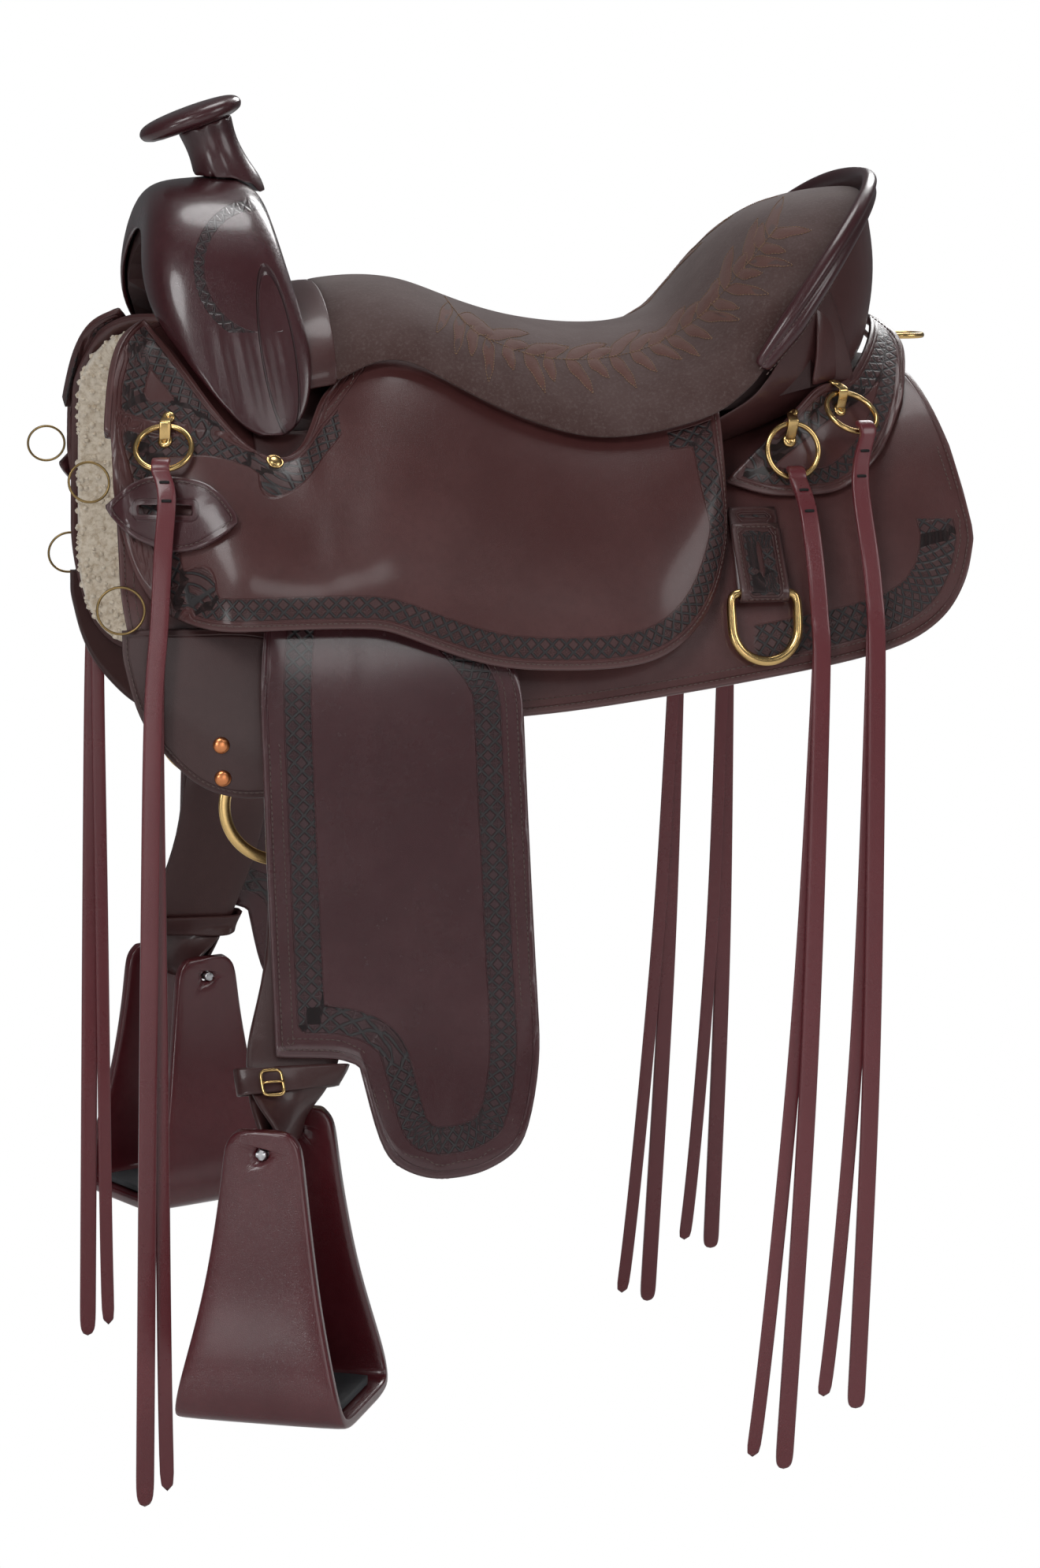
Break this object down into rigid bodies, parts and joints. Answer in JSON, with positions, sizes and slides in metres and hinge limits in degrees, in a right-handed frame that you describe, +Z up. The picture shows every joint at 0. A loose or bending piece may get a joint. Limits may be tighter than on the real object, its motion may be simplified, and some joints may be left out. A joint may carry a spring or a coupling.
{
  "type": "western trail saddle",
  "caption": "Western trail saddle with horn, padded suede seat, draped skirts over fleece, string rings, and twisted fenders that carry leather-covered bell stirrups.",
  "frame": {"origin": "on the centre plane under the seat, on the line where a rack's ridge or the horse's back carries the saddle", "axes": "+Z up, -X towards the horse's head, -Y towards the rider's left (the near side)"},
  "size_m": [0.7179, 0.825, 1.0701],
  "materials": {
    "brown_leather": "smooth oiled leather",
    "dark_leather": "glossy dark leather",
    "oxblood_leather": "soft string leather",
    "brown_suede": "napped suede",
    "fleece": "woolly pile",
    "tree_wood": "bare wood",
    "brass": "polished",
    "steel": "plain",
    "tread_leather": "rough grey tread leather"
  },
  "bodies": {
    "saddle": {"cantle_back": "dark_leather", "cantle_binding": "dark_leather", "crupper_strap": "brown_leather", "fleece_lining_left": "fleece", "fleece_lining_right": "fleece", "ground_seat": "tree_wood", "horn_cap": "dark_leather", "horn_neck": "dark_leather", "horn_post": "steel", "latigo_keeper_left": "dark_leather", "latigo_keeper_right": "dark_leather", "rear_billet_left": "brown_leather", "rear_billet_right": "brown_leather", "rear_jockey_left": "brown_leather", "rear_jockey_right": "brown_leather", "rigging_plate_left": "dark_leather", "rigging_plate_right": "dark_leather", "seat_jockey_left": "brown_leather", "seat_jockey_right": "brown_leather", "seat_pad": "brown_suede", "skirt_left": "brown_leather", "skirt_right": "brown_leather", "swell_cover": "dark_leather", "tree_bar_left": "tree_wood", "tree_bar_right": "tree_wood", "tree_cantle": "tree_wood", "tree_fork": "tree_wood"},
    "hanging_left": {"stirrup_leather_left": "dark_leather", "fender_left": "dark_leather", "hobble_strap_left": "brown_leather"},
    "stirrup_left_body": {"stirrup_left": "dark_leather", "stirrup_tread_left": "tread_leather", "stirrup_bolt_left": "steel"},
    "front_string_ring_left_body": {"front_string_ring_left": "brass"},
    "front_string_left_body": {"front_string_left": "oxblood_leather"},
    "rear_low_string_ring_left_body": {"rear_low_string_ring_left": "brass"},
    "rear_low_string_left_body": {"rear_low_string_left": "oxblood_leather"},
    "rear_high_string_ring_left_body": {"rear_high_string_ring_left": "brass"},
    "rear_high_string_left_body": {"rear_high_string_left": "oxblood_leather"},
    "upper_breast_ring_left_body": {"upper_breast_ring_left": "brass"},
    "lower_breast_ring_left_body": {"lower_breast_ring_left": "brass"},
    "cinch_ring_left_body": {"cinch_ring_left": "brass"},
    "rear_dee_left_body": {"rear_dee_left": "brass"},
    "hanging_right": {"stirrup_leather_right": "dark_leather", "fender_right": "dark_leather", "hobble_strap_right": "brown_leather"},
    "stirrup_right_body": {"stirrup_right": "dark_leather", "stirrup_tread_right": "tread_leather", "stirrup_bolt_right": "steel"},
    "front_string_ring_right_body": {"front_string_ring_right": "brass"},
    "front_string_right_body": {"front_string_right": "oxblood_leather"},
    "rear_low_string_ring_right_body": {"rear_low_string_ring_right": "brass"},
    "rear_low_string_right_body": {"rear_low_string_right": "oxblood_leather"},
    "rear_high_string_ring_right_body": {"rear_high_string_ring_right": "brass"},
    "rear_high_string_right_body": {"rear_high_string_right": "oxblood_leather"},
    "upper_breast_ring_right_body": {"upper_breast_ring_right": "brass"},
    "lower_breast_ring_right_body": {"lower_breast_ring_right": "brass"},
    "cinch_ring_right_body": {"cinch_ring_right": "brass"},
    "rear_dee_right_body": {"rear_dee_right": "brass"},
    "crupper_dee_body": {"crupper_dee": "brass"}
  },
  "joints": [
    {"name": "fender_swing_left", "type": "hinge", "parent": "saddle", "child": "hanging_left", "pos_m": [-0.186, -0.1523, -0.004], "axis": [0, 1, 0], "range_deg": [-5, 12]},
    {"name": "stirrup_rock_left", "type": "hinge", "parent": "hanging_left", "child": "stirrup_left_body", "pos_m": [-0.221, -0.326, -0.513], "axis": [-0.4226, -0.9063, 0], "range_deg": [-12, 20]},
    {"name": "front_string_ring_lift_left", "type": "hinge", "parent": "saddle", "child": "front_string_ring_left_body", "pos_m": [-0.283, -0.17884, 0.004], "axis": [-0.9732, 0.2302, 0], "range_deg": [0, 70]},
    {"name": "front_string_hang_left", "type": "hinge", "parent": "front_string_ring_left_body", "child": "front_string_left_body", "pos_m": [-0.28982, -0.20768, -0.02715], "axis": [-0.9732, 0.2302, 0], "range_deg": [-70, 0]},
    {"name": "rear_low_string_ring_lift_left", "type": "hinge", "parent": "saddle", "child": "rear_low_string_ring_left_body", "pos_m": [0.203, -0.17152, -0.001], "axis": [-0.995, -0.0998, 0], "range_deg": [0, 70]},
    {"name": "rear_low_string_hang_left", "type": "hinge", "parent": "rear_low_string_ring_left_body", "child": "rear_low_string_left_body", "pos_m": [0.20376, -0.17905, -0.04333], "axis": [-0.995, -0.0998, 0], "range_deg": [-70, 0]},
    {"name": "rear_high_string_ring_lift_left", "type": "hinge", "parent": "saddle", "child": "rear_high_string_ring_left_body", "pos_m": [0.249, -0.14494, 0.02], "axis": [-0.947, -0.3211, 0], "range_deg": [0, 45]},
    {"name": "rear_high_string_hang_left", "type": "hinge", "parent": "rear_high_string_ring_left_body", "child": "rear_high_string_left_body", "pos_m": [0.25916, -0.17491, -0.00912], "axis": [-0.947, -0.3211, 0], "range_deg": [-45, 0]},
    {"name": "upper_breast_ring_lift_left", "type": "hinge", "parent": "saddle", "child": "upper_breast_ring_left_body", "pos_m": [-0.3425, -0.18672, -0.0215], "axis": [-0.9987, -0.0507, 0], "range_deg": [0, 60]},
    {"name": "lower_breast_ring_lift_left", "type": "hinge", "parent": "saddle", "child": "lower_breast_ring_left_body", "pos_m": [-0.322, -0.21208, -0.113], "axis": [-0.9955, 0.0948, 0], "range_deg": [0, 60]},
    {"name": "cinch_ring_swing_left", "type": "hinge", "parent": "saddle", "child": "cinch_ring_left_body", "pos_m": [-0.205, -0.21617, -0.23948], "axis": [1, 0, 0], "range_deg": [0, 40]},
    {"name": "rear_dee_swing_left", "type": "hinge", "parent": "saddle", "child": "rear_dee_left_body", "pos_m": [0.169, -0.22224, -0.12689], "axis": [-1, 0, 0], "range_deg": [0, 60]},
    {"name": "fender_swing_right", "type": "hinge", "parent": "saddle", "child": "hanging_right", "pos_m": [-0.186, 0.1523, -0.004], "axis": [0, 1, 0], "range_deg": [-5, 12]},
    {"name": "stirrup_rock_right", "type": "hinge", "parent": "hanging_right", "child": "stirrup_right_body", "pos_m": [-0.221, 0.326, -0.513], "axis": [0.4226, -0.9063, 0], "range_deg": [-12, 20]},
    {"name": "front_string_ring_lift_right", "type": "hinge", "parent": "saddle", "child": "front_string_ring_right_body", "pos_m": [-0.283, 0.17884, 0.004], "axis": [0.9732, 0.2302, 0], "range_deg": [0, 70]},
    {"name": "front_string_hang_right", "type": "hinge", "parent": "front_string_ring_right_body", "child": "front_string_right_body", "pos_m": [-0.28982, 0.20768, -0.02715], "axis": [0.9732, 0.2302, 0], "range_deg": [-70, 0]},
    {"name": "rear_low_string_ring_lift_right", "type": "hinge", "parent": "saddle", "child": "rear_low_string_ring_right_body", "pos_m": [0.203, 0.17152, -0.001], "axis": [0.995, -0.0998, 0], "range_deg": [0, 70]},
    {"name": "rear_low_string_hang_right", "type": "hinge", "parent": "rear_low_string_ring_right_body", "child": "rear_low_string_right_body", "pos_m": [0.20376, 0.17905, -0.04333], "axis": [0.995, -0.0998, 0], "range_deg": [-70, 0]},
    {"name": "rear_high_string_ring_lift_right", "type": "hinge", "parent": "saddle", "child": "rear_high_string_ring_right_body", "pos_m": [0.249, 0.14494, 0.02], "axis": [0.947, -0.3211, 0], "range_deg": [0, 45]},
    {"name": "rear_high_string_hang_right", "type": "hinge", "parent": "rear_high_string_ring_right_body", "child": "rear_high_string_right_body", "pos_m": [0.25916, 0.17491, -0.00912], "axis": [0.947, -0.3211, 0], "range_deg": [-45, 0]},
    {"name": "upper_breast_ring_lift_right", "type": "hinge", "parent": "saddle", "child": "upper_breast_ring_right_body", "pos_m": [-0.3425, 0.18672, -0.0215], "axis": [0.9987, -0.0507, 0], "range_deg": [0, 60]},
    {"name": "lower_breast_ring_lift_right", "type": "hinge", "parent": "saddle", "child": "lower_breast_ring_right_body", "pos_m": [-0.322, 0.21208, -0.113], "axis": [0.9955, 0.0948, 0], "range_deg": [0, 60]},
    {"name": "cinch_ring_swing_right", "type": "hinge", "parent": "saddle", "child": "cinch_ring_right_body", "pos_m": [-0.205, 0.21617, -0.23948], "axis": [-1, 0, 0], "range_deg": [0, 40]},
    {"name": "rear_dee_swing_right", "type": "hinge", "parent": "saddle", "child": "rear_dee_right_body", "pos_m": [0.169, 0.22224, -0.12689], "axis": [1, 0, 0], "range_deg": [0, 60]},
    {"name": "crupper_dee_lift", "type": "hinge", "parent": "saddle", "child": "crupper_dee_body", "pos_m": [0.318, 0, 0.0565], "axis": [0, -1, 0], "range_deg": [0, 80]}
  ],
  "couplings": [
    {"joint": "front_string_hang_left", "follows": "front_string_ring_lift_left", "ratio": -1},
    {"joint": "rear_low_string_hang_left", "follows": "rear_low_string_ring_lift_left", "ratio": -1},
    {"joint": "rear_high_string_hang_left", "follows": "rear_high_string_ring_lift_left", "ratio": -1},
    {"joint": "front_string_hang_right", "follows": "front_string_ring_lift_right", "ratio": -1},
    {"joint": "rear_low_string_hang_right", "follows": "rear_low_string_ring_lift_right", "ratio": -1},
    {"joint": "rear_high_string_hang_right", "follows": "rear_high_string_ring_lift_right", "ratio": -1}
  ]
}
